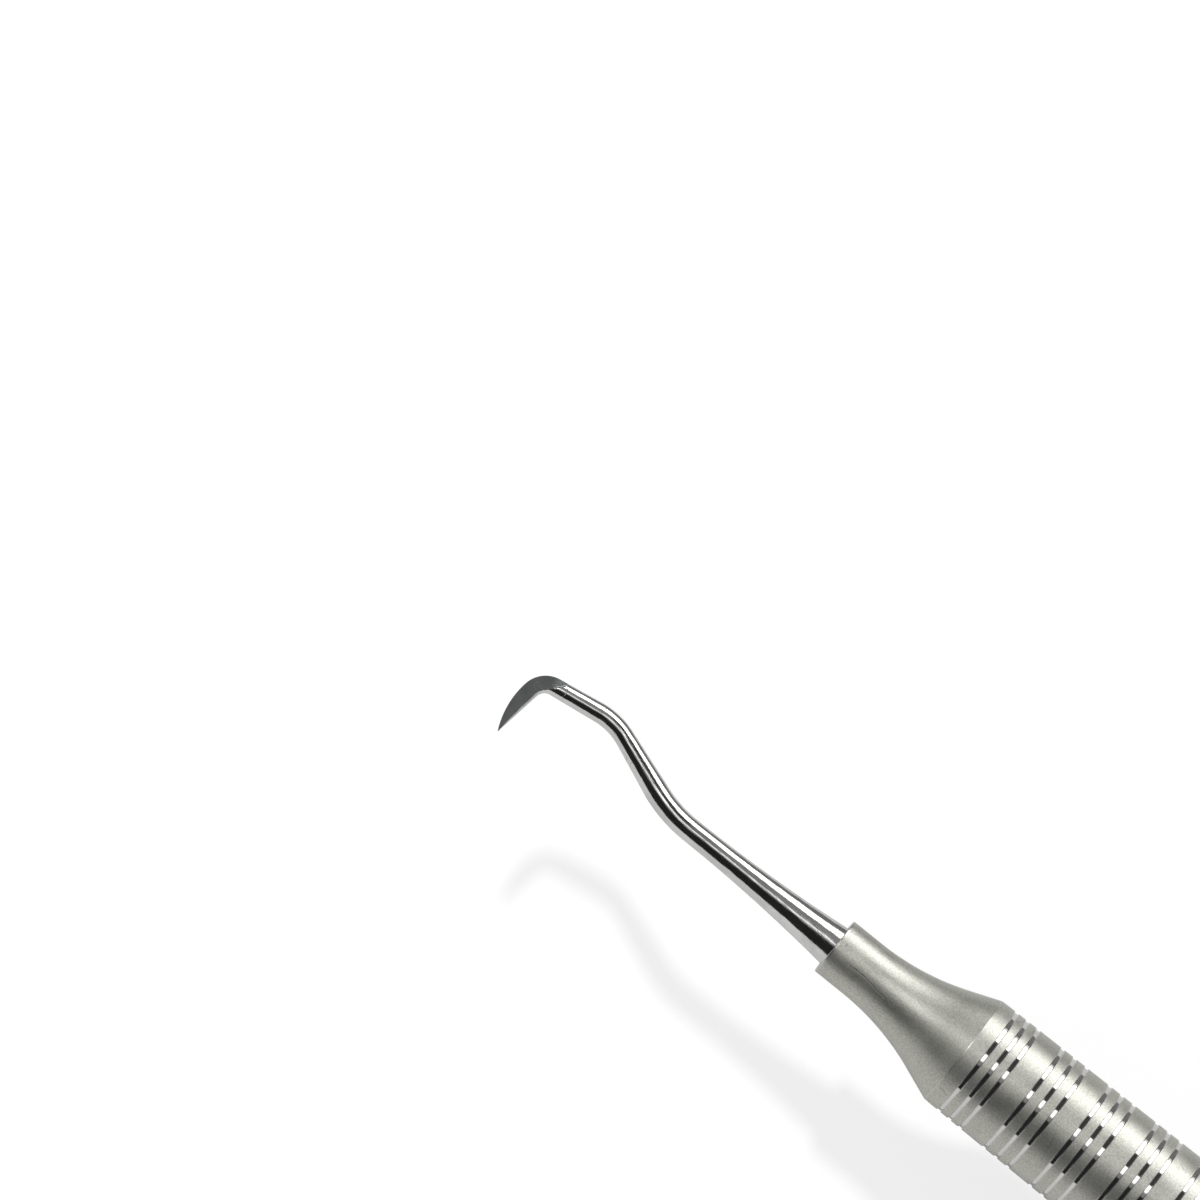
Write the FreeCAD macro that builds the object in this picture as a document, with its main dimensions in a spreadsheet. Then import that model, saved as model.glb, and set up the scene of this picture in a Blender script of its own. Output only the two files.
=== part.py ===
import FreeCAD, Part
import Sketcher
import math
import os

# A dental scaler: a hollow round handle with a bent sickle scaler pressed into each end.
# X runs along the handle and Z is up. The handle lies on z = 0 and both hooks lie flat, level with its axis.
# The front end is at minus X with its tip towards minus Y. The rear end is the same, half a turn round Z.

# Driving sizes, millimetres and degrees
SIZES = {
    # handle tube with its plain middle band
    "handle_length": 116.0,  # from one collar face to the other
    "band_diameter": 10.0,
    "band_length": 29.0,
    "shoulder_diameter": 9.4,
    "bore_diameter": 8.0,
    # ring grooves, in groups, counted from each collar face inwards
    "groups_per_end": 5,
    "rings_per_group": 3,
    "first_group_distance": 14.85,
    "group_pitch": 4.5,
    "ring_pitch": 1.14,
    "first_ring_pitch": 1.02,
    "ring_width": 0.42,
    "ring_floor_width": 0.3,
    "ring_depth": 0.1,
    # socket cone: collar, flared cone and the spigot inside the tube
    "cone_length": 12.45,
    "cone_slope": 21.0,
    "collar_diameter": 4.75,
    "collar_length": 2.7,
    "collar_break": 0.2,
    "spigot_length": 5.5,
    "spigot_chamfer": 0.3,
    # working end: tang, tapered shank and its two bends
    "tang_diameter": 3.35,
    "tang_length": 9.0,
    "tang_chamfer": 0.3,
    "tang_end_gap": 0.6,
    "taper_length": 13.86,
    "neck_diameter": 1.84,
    "first_bend_turn": 20.4,
    "first_bend_radius": 11.0,
    "middle_length": 4.58,
    "second_bend_turn": 29.3,
    "second_bend_radius": 5.5,
    "wire_diameter": 1.52,
    "terminal_length": 3.85,
    # sickle: the hook, the blade and its ground flanks
    "hook_turn": 72.0,
    "hook_radius": 1.5,
    "hook_wire_diameter": 1.4,
    "heel_width": 1.29,  # from the inside of the hook to the back edge, where the blade begins
    "blade_length": 4.0,
    "tip_width": 0.03,
    "flank_angle": 25.0,
    "grind_lead": 0.9,  # how far the flanks reach back along the terminal shank
    "grind_wall_turn": 40.0,
    "grind_wall_slope": 80.0,
}

doc = FreeCAD.newDocument("dental_scaler")
sheet = doc.addObject("Spreadsheet::Sheet", "sizes")
for row, (name, value) in enumerate(SIZES.items(), start=1):
    sheet.set(f"A{row}", name)
    sheet.set(f"B{row}", str(value))
    sheet.setAlias(f"B{row}", name)
doc.recompute()


def size(name):
    """A driving size, as the sheet holds it."""
    return float(sheet.get(name))


def radius(name):
    return size(name + "_diameter") / 2


X_AXIS = FreeCAD.Vector(1, 0, 0)
Z_AXIS = FreeCAD.Vector(0, 0, 1)
ORIGIN = FreeCAD.Vector(0, 0, 0)
REACH = 4.0  # how far a cutting tool stands out of the metal
BLADE_STATIONS = 6
SAME_POINT = 1e-6

# Each end has its own frame, with X outwards along the handle from the collar face and its tip on the Y side
HALF_HANDLE = size("handle_length") / 2
AXIS_HEIGHT = radius("band")


def end_placement(side, turn):
    return FreeCAD.Placement(
        FreeCAD.Vector(side * HALF_HANDLE, 0, AXIS_HEIGHT),
        FreeCAD.Rotation(Z_AXIS, turn),
    )


ENDS = {"front": end_placement(-1, 180), "rear": end_placement(1, 0)}


# Turned pieces: a half section is sketched on the XZ plane and revolved about X
def spot(x, y):
    return FreeCAD.Vector(x, y, 0)


def line(start, end):
    return Part.LineSegment(start, end)


def arc(centre, bow, start_angle, end_angle):
    """An arc of radius bow through its own middle, with angles in degrees from X."""
    angles = (start_angle, (start_angle + end_angle) / 2, end_angle)
    return Part.Arc(*(centre + bow * heading(angle) for angle in angles))


def heading(angle):
    return spot(math.cos(math.radians(angle)), math.sin(math.radians(angle)))


def left_of(angle):
    return heading(angle + 90)


def turned_body(name, edges):
    """A body with one sketch, revolved about its X axis. The edges follow each other round the section."""
    body = doc.addObject("PartDesign::Body", name)
    sketch = body.newObject("Sketcher::SketchObject", name + "_section")
    plane = next(feature for feature in body.Origin.OriginFeatures if feature.Role == "XZ_Plane")
    sketch.AttachmentSupport = [(plane, "")]
    sketch.MapMode = "FlatFace"
    for edge in edges:
        sketch.addGeometry(edge)
    for this in range(len(edges)):
        following = (this + 1) % len(edges)
        end, start = next(
            (p, q)
            for p in (1, 2)
            for q in (1, 2)
            if sketch.getPoint(this, p).distanceToPoint(sketch.getPoint(following, q)) < SAME_POINT
        )
        sketch.addConstraint(Sketcher.Constraint("Coincident", this, end, following, start))
    turned = body.newObject("PartDesign::Revolution", name + "_turned")
    turned.Profile = sketch
    turned.ReferenceAxis = (sketch, ["H_Axis"])
    turned.Angle = 360
    return body, sketch


def fix(sketch, kind, edge, point, name, formula):
    """Hold a point of the section at a size of the sheet: its X, or its radius, which is Y."""
    place = sketch.getPoint(edge, point)
    value = place.x if kind == "DistanceX" else place.y
    number = sketch.addConstraint(Sketcher.Constraint(kind, edge, point, value))
    sketch.renameConstraint(number, name)
    sketch.setExpression("Constraints." + name, formula)


# Handle tube: a plain band in the middle that tapers to a shoulder at both ends
def tube_surface(x):
    """Radius of the tube's outer face at x."""
    half_band = size("band_length") / 2
    half_tube = HALF_HANDLE - size("cone_length")
    share = max(0.0, (abs(x) - half_band) / (half_tube - half_band))
    return radius("band") + share * (radius("shoulder") - radius("band"))


def tube_blank():
    half_tube = HALF_HANDLE - size("cone_length")
    half_band = size("band_length") / 2
    corners = [
        spot(-half_tube, radius("bore")),
        spot(-half_tube, radius("shoulder")),
        spot(-half_band, radius("band")),
        spot(half_band, radius("band")),
        spot(half_tube, radius("shoulder")),
        spot(half_tube, radius("bore")),
    ]
    edges = [line(a, b) for a, b in zip(corners, corners[1:] + corners[:1])]
    body, sketch = turned_body("tube_blank", edges)
    for side, edge, sign in (("left", 0, "-"), ("right", 4, "")):
        first, last = (1, 2) if side == "left" else (2, 1)
        end_place = f"{sign}(sizes.handle_length / 2 - sizes.cone_length)"
        fix(sketch, "DistanceX", edge, first, side + "_end", end_place)
        fix(sketch, "DistanceY", edge, first, side + "_bore", "sizes.bore_diameter / 2")
        fix(sketch, "DistanceX", edge, last, side + "_rim", end_place)
        fix(sketch, "DistanceY", edge, last, side + "_shoulder", "sizes.shoulder_diameter / 2")
    for side, point, sign in (("left", 1, "-"), ("right", 2, "")):
        fix(sketch, "DistanceX", 2, point, side + "_band_end", f"{sign}sizes.band_length / 2")
        fix(sketch, "DistanceY", 2, point, side + "_band", "sizes.band_diameter / 2")
    return body


def ring_places():
    """Distance of each ring groove from its collar face."""
    middle_ring = (size("rings_per_group") - 1) / 2
    for group in range(int(size("groups_per_end"))):
        pitch = size("ring_pitch") if group else size("first_ring_pitch")
        for ring in range(int(size("rings_per_group"))):
            yield size("first_group_distance") + group * size("group_pitch") + (ring - middle_ring) * pitch


def ring_cutter(x):
    """A ring with a flat floor, one groove depth under the tube's surface, and steep walls."""
    surface, depth = tube_surface(x), size("ring_depth")
    half_floor, half_top = size("ring_floor_width") / 2, size("ring_width") - size("ring_floor_width") / 2
    corners = [
        FreeCAD.Vector(x - half_top, 0, surface + depth),
        FreeCAD.Vector(x - half_floor, 0, surface - depth),
        FreeCAD.Vector(x + half_floor, 0, surface - depth),
        FreeCAD.Vector(x + half_top, 0, surface + depth),
    ]
    face = Part.Face(Part.makePolygon(corners + corners[:1]))
    return face.revolve(ORIGIN, X_AXIS, 360)


def handle_tube():
    cutters = doc.addObject("Part::Feature", "ring_cutters")
    cutters.Shape = Part.makeCompound(
        [ring_cutter(side * (HALF_HANDLE - place)) for side in (-1, 1) for place in ring_places()]
    )
    tube = doc.addObject("Part::Cut", "handle_tube")
    tube.Base = tube_blank()
    tube.Tool = cutters
    tube.Placement = FreeCAD.Placement(FreeCAD.Vector(0, 0, AXIS_HEIGHT), FreeCAD.Rotation())
    return tube


# Socket cone: the collar flares in a hollow arc into a straight cone, which meets the tube at its shoulder
def cone_section():
    """The half section of a cone, from the rim of its socket round to the socket's bottom."""
    slope = math.radians(size("cone_slope"))
    collar, edge_break = radius("collar"), size("collar_break")
    collar_length, length = size("collar_length"), size("cone_length")
    rim = spot(-length, radius("shoulder"))

    # the flare is tangent to the collar and to the cone
    rise, run = rim.y - collar, length - collar_length
    flare = (math.tan(slope) * run - rise) / (math.tan(slope) * math.sin(slope) - 1 + math.cos(slope))
    flare_centre = spot(-collar_length, collar + flare)
    cone_start = flare_centre + flare * heading(-90 - size("cone_slope"))

    spigot, spigot_end = radius("bore"), -length - size("spigot_length")
    chamfer = size("spigot_chamfer")
    socket, socket_end = radius("tang"), -size("tang_length") - size("tang_end_gap")
    return [
        line(spot(0, socket), spot(0, collar - edge_break)),
        line(spot(0, collar - edge_break), spot(-edge_break, collar)),
        line(spot(-edge_break, collar), spot(-collar_length, collar)),
        arc(flare_centre, flare, -90, -90 - size("cone_slope")),
        line(cone_start, rim),
        line(rim, spot(-length, spigot)),
        line(spot(-length, spigot), spot(spigot_end + chamfer, spigot)),
        line(spot(spigot_end + chamfer, spigot), spot(spigot_end, spigot - chamfer)),
        line(spot(spigot_end, spigot - chamfer), spot(spigot_end, 0)),
        line(spot(spigot_end, 0), spot(socket_end, 0)),
        line(spot(socket_end, 0), spot(socket_end, socket)),
        line(spot(socket_end, socket), spot(0, socket)),
    ]


def cone(end):
    body, sketch = turned_body(end + "_cone", cone_section())
    fix(sketch, "DistanceY", 0, 1, "socket_radius", "sizes.tang_diameter / 2")
    fix(sketch, "DistanceY", 2, 1, "collar_radius", "sizes.collar_diameter / 2")
    fix(sketch, "DistanceX", 2, 2, "collar_end", "-sizes.collar_length")
    fix(sketch, "DistanceX", 5, 1, "rim_place", "-sizes.cone_length")
    fix(sketch, "DistanceY", 5, 1, "rim_radius", "sizes.shoulder_diameter / 2")
    fix(sketch, "DistanceY", 6, 1, "spigot_radius", "sizes.bore_diameter / 2")
    fix(sketch, "DistanceX", 8, 1, "spigot_end", "-(sizes.cone_length + sizes.spigot_length)")
    fix(sketch, "DistanceX", 10, 1, "socket_end", "-(sizes.tang_length + sizes.tang_end_gap)")
    body.Placement = ENDS[end]
    return body


# Working end: a turned shank, then round wire through two bends into the hook
def shank(end):
    """Tang and tapered shank in one turned piece. The taper is an arc that ends level at the neck."""
    tang, neck = radius("tang"), radius("neck")
    back, chamfer = -size("tang_length"), size("tang_chamfer")
    run, drop = size("taper_length"), tang - neck
    sweep = (run * run + drop * drop) / (2 * drop)
    angle = math.degrees(math.asin(run / sweep))
    edges = [
        line(spot(back, 0), spot(back, tang - chamfer)),
        line(spot(back, tang - chamfer), spot(back + chamfer, tang)),
        line(spot(back + chamfer, tang), spot(0, tang)),
        arc(spot(run, neck + sweep), sweep, -90 - angle, -90),
        line(spot(run, neck), spot(run, 0)),
        line(spot(run, 0), spot(back, 0)),
    ]
    body, sketch = turned_body(end + "_shank", edges)
    fix(sketch, "DistanceX", 0, 1, "tang_end", "-sizes.tang_length")
    fix(sketch, "DistanceY", 1, 2, "tang_radius", "sizes.tang_diameter / 2")
    fix(sketch, "DistanceX", 4, 1, "taper_end", "sizes.taper_length")
    fix(sketch, "DistanceY", 4, 1, "neck_radius", "sizes.neck_diameter / 2")
    return body


def run_straight(name, start, course, length_name, first, last):
    """A straight stretch of wire, round and tapering from one diameter to the other. Gives it and its end."""
    piece = doc.addObject("Part::Cone", name)
    piece.setExpression("Radius1", f"sizes.{first}_diameter / 2")
    piece.setExpression("Radius2", f"sizes.{last}_diameter / 2")
    piece.setExpression("Height", "sizes." + length_name)
    piece.Placement = FreeCAD.Placement(start, FreeCAD.Rotation(Z_AXIS, heading(course)))
    return piece, start + size(length_name) * heading(course)


def run_bend(name, start, course, bend_name, wire, side):
    """A bent stretch of wire. side is 1 to turn left, -1 to turn right. Gives it, its end and its course."""
    turn, bend = size(bend_name + "_turn"), size(bend_name + "_radius")
    centre = start + side * bend * left_of(course)
    first_angle = course - 90 if side > 0 else course + 90 - turn
    piece = doc.addObject("Part::Torus", name)
    piece.setExpression("Radius1", f"sizes.{bend_name}_radius")
    piece.setExpression("Radius2", f"sizes.{wire}_diameter / 2")
    piece.setExpression("Angle3", f"sizes.{bend_name}_turn")
    piece.Placement = FreeCAD.Placement(centre, FreeCAD.Rotation(Z_AXIS, first_angle))
    new_course = course + side * turn
    return piece, centre - side * bend * left_of(new_course), new_course


def hook_layout(start, course):
    """Where the sickle lies, from the start of its hook: named points and radii in the plane of the blade."""
    wire = radius("hook_wire")
    turn = size("hook_turn")
    outwards = -1 * left_of(course + turn)
    centre = start + size("hook_radius") * left_of(course)
    inside = centre + (size("hook_radius") - wire) * outwards
    edge = inside + size("heel_width") * outwards
    # the back edge is an arc that leaves the shank's outer side and meets the blade's back square to the heel
    side_line = start - wire * left_of(course)
    back = (edge - side_line).dot(left_of(course)) / (1 - math.cos(math.radians(turn)))
    back_centre = edge - back * outwards
    return {
        "course": course,
        "outwards": outwards,
        "centre": centre,
        "inside": inside,
        "back": back,
        "back_centre": back_centre,
        "back_start": back_centre - back * left_of(course),
    }


def flank_grind(end, hook):
    """What grinding takes off the hook: a cone over the back edge, above and below, up to a slanting wall."""
    tangent = math.tan(math.radians(size("flank_angle")))
    top = size("hook_wire_diameter")
    aside = -1 * left_of(hook["course"])
    corners = [
        hook["back_centre"] + hook["back"] * tangent * Z_AXIS,
        hook["back_start"] + REACH * aside - REACH * tangent * Z_AXIS,
        hook["back_start"] + REACH * aside + top * Z_AXIS,
        hook["back_centre"] + top * Z_AXIS,
    ]
    section = Part.Face(Part.makePolygon(corners + corners[:1]))
    round_hook = section.revolve(hook["back_centre"], Z_AXIS, size("hook_turn"))
    along_shank = section.extrude(-REACH * heading(hook["course"]))

    # the wall crosses the shank from its outer side to the inside of the hook
    wall_course = hook["course"] + size("grind_wall_turn")
    wall_start = hook["back_start"] - size("grind_lead") * heading(hook["course"])
    wall_length = (hook["centre"] - wall_start).dot(heading(wall_course))
    wall = Part.makeBox(REACH + wall_length, 2 * REACH, 2 * REACH, FreeCAD.Vector(-REACH, 0, -REACH))
    wall.rotate(ORIGIN, X_AXIS, size("grind_wall_slope") - 90)
    wall.rotate(ORIGIN, Z_AXIS, wall_course)
    wall.translate(wall_start + radius("hook_wire") * Z_AXIS)

    upper = round_hook.fuse(along_shank).cut(wall)
    grind = doc.addObject("Part::Feature", end + "_flank_grind")
    grind.Shape = Part.makeCompound([upper, upper.mirror(ORIGIN, Z_AXIS)])
    return grind


def blade_back():
    """Radius of the blade's back edge, an arc square to the heel that meets the inner edge at the tip."""
    length, heel = size("blade_length"), size("heel_width")
    return (length * length + heel * heel) / (2 * heel)


def blade_section(hook, distance):
    """Section of the blade square to its inner edge: two flat flanks and a round inner side."""
    heel, back = size("heel_width"), blade_back()
    width = math.sqrt(back * back - distance * distance) - back + heel
    inner_round = radius("hook_wire") / heel * width
    tangent = math.tan(math.radians(size("flank_angle")))

    # where a flank meets the round: (u - r)^2 + (w - u)^2 t^2 = r^2
    a = 1 + tangent * tangent
    b = inner_round + width * tangent * tangent
    across = (b - math.sqrt(b * b - a * width * width * tangent * tangent)) / a
    half = (width - across) * tangent
    foot = hook["inside"] + distance * heading(hook["course"] + size("hook_turn"))
    inner = foot + across * hook["outwards"]
    back_edge = foot + width * hook["outwards"]
    upper, lower = inner + half * Z_AXIS, inner - half * Z_AXIS
    edges = [line(upper, back_edge), line(back_edge, lower), Part.Arc(lower, foot, upper)]
    return Part.Wire([edge.toShape() for edge in edges])


def blade(end, hook):
    back = blade_back()
    last = math.sqrt(back * back - (back - size("heel_width") + size("tip_width")) ** 2)
    stations = [last * math.sin(math.radians(90 * i / BLADE_STATIONS)) for i in range(BLADE_STATIONS + 1)]
    piece = doc.addObject("Part::Feature", end + "_blade")
    piece.Shape = Part.makeLoft([blade_section(hook, distance) for distance in stations], True)
    return piece


def working_end(end):
    root = shank(end)
    place = size("taper_length") * X_AXIS
    first, place, course = run_bend(end + "_first_bend", place, 0, "first_bend", "neck", -1)
    middle, place = run_straight(end + "_middle", place, course, "middle_length", "neck", "wire")
    second, place, course = run_bend(end + "_second_bend", place, course, "second_bend", "wire", 1)
    terminal, place = run_straight(end + "_terminal", place, course, "terminal_length", "wire", "hook_wire")
    hook = hook_layout(place, course)
    bow, _, _ = run_bend(end + "_hook", place, course, "hook", "hook_wire", 1)

    stock = doc.addObject("Part::MultiFuse", end + "_stock")
    stock.Shapes = [root, first, middle, second, terminal, bow]
    ground = doc.addObject("Part::Cut", end + "_ground")
    ground.Base = stock
    ground.Tool = flank_grind(end, hook)
    whole = doc.addObject("Part::Fuse", end + "_working_end")
    whole.Base = ground
    whole.Tool = blade(end, hook)
    whole.Placement = ENDS[end]
    return whole


parts = [handle_tube()]
for end in ENDS:
    parts += [cone(end), working_end(end)]
doc.recompute()

for thing in doc.Objects:
    if "Invalid" in thing.State or "Error" in thing.State:
        raise RuntimeError(f"{thing.Label} did not compute: {thing.State}")
for part in parts:
    if part.Shape.isNull() or not part.Shape.isValid() or len(part.Shape.Solids) != 1:
        raise RuntimeError(f"{part.Label} is not one sound solid")

os.makedirs("parts", exist_ok=True)
for part in parts:
    part.Shape.exportStep(f"parts/{part.Label}.step")
    box = part.Shape.optimalBoundingBox()
    print(f"{part.Label}: {part.Shape.Volume:.2f} mm3, x {box.XMin:.2f} to {box.XMax:.2f},"
          f" y {box.YMin:.2f} to {box.YMax:.2f}, z {box.ZMin:.2f} to {box.ZMax:.2f}")
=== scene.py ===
# %% [markdown]
# # A dental scaler in polished and bead-blasted steel
# The scaler is five pieces of stainless steel pressed together: a hollow handle, a socket cone at each end
# of it, and in each cone a working end, which is a bent shank with a sickle blade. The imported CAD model
# holds all five at their real size. Its curves are flat facets, though, and a mirror finish shows each of
# them. So every piece is made again here from the same sizes with a fine, smooth skin, and then it gets its
# finish.

import math

import bmesh
import bpy
import numpy as np
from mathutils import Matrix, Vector


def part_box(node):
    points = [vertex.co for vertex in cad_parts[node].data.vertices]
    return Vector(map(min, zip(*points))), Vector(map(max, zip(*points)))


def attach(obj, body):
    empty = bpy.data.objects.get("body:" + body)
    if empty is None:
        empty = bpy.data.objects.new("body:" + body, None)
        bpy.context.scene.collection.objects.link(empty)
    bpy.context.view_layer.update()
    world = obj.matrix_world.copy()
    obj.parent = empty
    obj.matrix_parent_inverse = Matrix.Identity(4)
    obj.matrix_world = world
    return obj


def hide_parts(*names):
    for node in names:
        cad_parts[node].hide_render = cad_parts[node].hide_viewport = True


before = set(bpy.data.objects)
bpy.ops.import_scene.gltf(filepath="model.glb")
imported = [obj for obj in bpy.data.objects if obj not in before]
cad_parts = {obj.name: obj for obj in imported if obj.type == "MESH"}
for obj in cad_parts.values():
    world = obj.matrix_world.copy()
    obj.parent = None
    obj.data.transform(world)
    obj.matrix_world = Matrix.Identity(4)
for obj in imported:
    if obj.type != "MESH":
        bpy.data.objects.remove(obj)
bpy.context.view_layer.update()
scene = bpy.context.scene
print("CAD nodes:", sorted(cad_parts))

# %% [markdown]
# ## Sizes
# Blender works in metres, and a scaler is measured in millimetres. The script keeps the sizes of the scaler
# in millimetres and turns them into metres in one place, where a mesh is made. Only the room round it is
# given in metres. What the CAD model can tell is read from its boxes. The handle's axis runs along X, one
# radius above the CAD model's lowest point.

# %% Sizes that the CAD boxes give
MM = 0.001


def box_mm(node):
    """A CAD node's lowest and highest corner, in millimetres."""
    low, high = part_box(node)
    return np.array(low) / MM, np.array(high) / MM


tube_low, tube_high = box_mm("handle_tube")
cone_low, cone_high = box_mm("rear_cone")
AXIS_HEIGHT = (tube_low[2] + tube_high[2]) / 2
BAND_RADIUS = (tube_high[2] - tube_low[2]) / 2
SHOULDER_RADIUS = (cone_high[2] - cone_low[2]) / 2
TUBE_END = tube_high[0]
COLLAR_FACE = cone_high[0]
print(f"band radius {BAND_RADIUS:.2f}, shoulder radius {SHOULDER_RADIUS:.2f}")
print(f"tube ends {2 * TUBE_END:.2f} apart, collar faces {2 * COLLAR_FACE:.2f} apart")

# %% [markdown]
# ## Camera
# The camera looks straight down on the scaler from a metre away through a long lens, so the handle hardly
# narrows with distance. It is turned about the vertical, which lays the handle across the picture from the
# upper left to the lower right, and it stands over the shank, so that one end of the scaler fills the
# frame.

# %% Camera
FRAME_WIDTH = 90.0  # millimetres across the picture, at the height of the handle's axis
PICTURE_PIXELS = 1200
LENS = 400.0
SENSOR = 36.0
TURN = 38.85  # degrees between the handle and the picture's lower edge
LOOKS_AT = (-87.96, 9.19)
FAR_LIMIT = 10.0  # metres, beyond which nothing is drawn

camera_data = bpy.data.cameras.new("camera")
camera_data.lens = LENS
camera_data.sensor_width = SENSOR
camera_data.clip_end = FAR_LIMIT
camera = bpy.data.objects.new("camera", camera_data)
scene.collection.objects.link(camera)
camera_height = AXIS_HEIGHT + LENS / SENSOR * FRAME_WIDTH
camera.location = (LOOKS_AT[0] * MM, LOOKS_AT[1] * MM, camera_height * MM)
camera.rotation_euler = (0, 0, math.radians(TURN))
scene.camera = camera
print(f"camera {camera.location.z:.3f} m up, {FRAME_WIDTH / PICTURE_PIXELS:.3f} mm a pixel")

# %% [markdown]
# ## Helpers for node trees
# A material is a tree of nodes. One helper adds a node together with its settings and inputs, and the
# others wrap the nodes that come up again and again. That keeps a tree as readable as a formula: each line
# names what it makes, and the next lines use it.

# %% Helpers for node trees


def new_material(name):
    """A node material without any nodes."""
    material = bpy.data.materials.new(name)
    material.use_nodes = True
    material.node_tree.nodes.clear()
    return material


def add_node(tree, kind, inputs, **settings):
    """A node with its settings and inputs. An input is a plain value or another node's output."""
    node = tree.nodes.new("ShaderNode" + kind)
    for name, value in settings.items():
        setattr(node, name, value)
    for name, value in inputs.items():
        if isinstance(value, bpy.types.NodeSocket):
            tree.links.new(value, node.inputs[name])
        else:
            node.inputs[name].default_value = value
    return node


def calculate(tree, operation, first, second=0.0):
    return add_node(tree, "Math", {0: first, 1: second}, operation=operation).outputs[0]


def stretched(tree, place, scale):
    """The place, multiplied by a vector or a number."""
    return add_node(tree, "VectorMath", {0: place, 1: scale}, operation="MULTIPLY").outputs[0]


def noise(tree, place, detail=2.0):
    return add_node(tree, "TexNoise", {"Vector": place, "Scale": 1.0, "Detail": detail}).outputs[0]


def remap(tree, value, low, high, to_low=0.0, to_high=1.0, kind="SMOOTHSTEP"):
    inputs = {"Value": value, "From Min": low, "From Max": high, "To Min": to_low, "To Max": to_high}
    return add_node(tree, "MapRange", inputs, interpolation_type=kind).outputs[0]


# %% [markdown]
# ## Sky
# An even white sky lights the scaler from all sides. The view transform is Standard, which shows a colour
# as it is written.

# %% Sky
scene.view_settings.view_transform = "Standard"
scene.world = bpy.data.worlds.new("white_sky")
scene.world.use_nodes = True
sky = scene.world.node_tree.nodes["Background"]
sky.inputs["Color"].default_value = (1, 1, 1, 1)
sky.inputs["Strength"].default_value = 1.0
print("sky:", scene.world.name)

# %% [markdown]
# ## Paper
# The scaler is held a centimetre above white paper. To the camera the paper gives most of its white by
# itself, and only the rest is lit, so that the shadow on it stays faint. What the steel mirrors is paper
# with more of that light and no glow of its own.

# %% Paper
PAPER_GLOW = 0.70  # white that the paper gives the camera by itself
PAPER_LIT = 0.17  # share of the light that the camera sees on it
PAPER_IN_STEEL = 0.39  # the same share as the steel mirrors it
PAPER_HALF_SIZE = 3.0
PAPER_HEIGHT = -0.0105
SQUARE = ((-1, -1), (1, -1), (1, 1), (-1, 1))


def white_paper():
    material = new_material("white_paper")
    tree = material.node_tree
    seen = add_node(tree, "LightPath", {}).outputs["Is Camera Ray"]
    shares = {"Value": seen, "To Min": PAPER_IN_STEEL, "To Max": PAPER_LIT}
    share = add_node(tree, "MapRange", shares).outputs[0]
    lit = add_node(tree, "BsdfDiffuse", {"Color": share}).outputs[0]
    strength = calculate(tree, "MULTIPLY", seen, PAPER_GLOW)
    glow = add_node(tree, "Emission", {"Strength": strength}).outputs[0]
    both = add_node(tree, "AddShader", {0: lit, 1: glow}).outputs[0]
    add_node(tree, "OutputMaterial", {"Surface": both})
    return material


def add_object(name, mesh):
    piece = bpy.data.objects.new(name, mesh)
    scene.collection.objects.link(piece)
    return piece


floor_mesh = bpy.data.meshes.new("floor")
corners = [(x * PAPER_HALF_SIZE, y * PAPER_HALF_SIZE, PAPER_HEIGHT) for x, y in SQUARE]
floor_mesh.from_pydata(corners, [], [(0, 1, 2, 3)])
floor_mesh.materials.append(white_paper())
floor = add_object("floor", floor_mesh)
print(f"paper {2 * PAPER_HALF_SIZE:.0f} m wide, {-PAPER_HEIGHT / MM:.1f} mm under the handle")

# %% [markdown]
# ## Sun for the shadow
# One broad sun draws the soft shadow. It shines from the top of the picture, so the shadow falls straight
# down in it. It is hidden from reflections, because a sun mirrored in steel would burn out to a hard spot.

# %% Sun
SUN_HEIGHT = 49.0  # degrees above the paper
SUN_BREADTH = 4.0  # degrees
SUN_STRENGTH = 3.7

sun_data = bpy.data.lights.new("shadow_sun", "SUN")
sun_data.energy = SUN_STRENGTH
sun_data.angle = math.radians(SUN_BREADTH)
sun = bpy.data.objects.new("shadow_sun", sun_data)
scene.collection.objects.link(sun)
turn = math.radians(TURN)
toward_sun = Vector((-math.sin(turn), math.cos(turn), math.tan(math.radians(SUN_HEIGHT))))
sun.rotation_mode = "QUATERNION"
sun.rotation_quaternion = toward_sun.to_track_quat("Z", "Y")
sun.visible_glossy = False
print(f"sun {SUN_HEIGHT:.0f} degrees up and {SUN_BREADTH:.0f} degrees broad")

# %% [markdown]
# ## Cards that the steel mirrors
# Bare metal has no colour of its own to show: it shows the room. A photographer builds that room from
# cards. A white softbox stands low on one side, with its bright foot at the bottom. A dim roof hangs over
# the scaler. Under it are a narrow lamp on an arm, a brighter lamp towards each end and a dark rail. A
# black flag darkens the other side, down to a grey wall. Each card is a strip of one long tunnel round the
# handle, so a few angles place them all. Only reflections see the cards, so they throw no shadow and hide
# the scaler from no camera.

# %% Cards round the handle
CARD_STEP = 3.0  # degrees between a card's edges
TUNNEL_RADIUS = 0.6
TUNNEL_END = 1.3
ROOF_RADIUS, RAIL_RADIUS = 0.62, 0.61  # behind the other cards
ARM_RADIUS, LAMP_RADIUS = 0.59, 0.58  # in front of them
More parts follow.
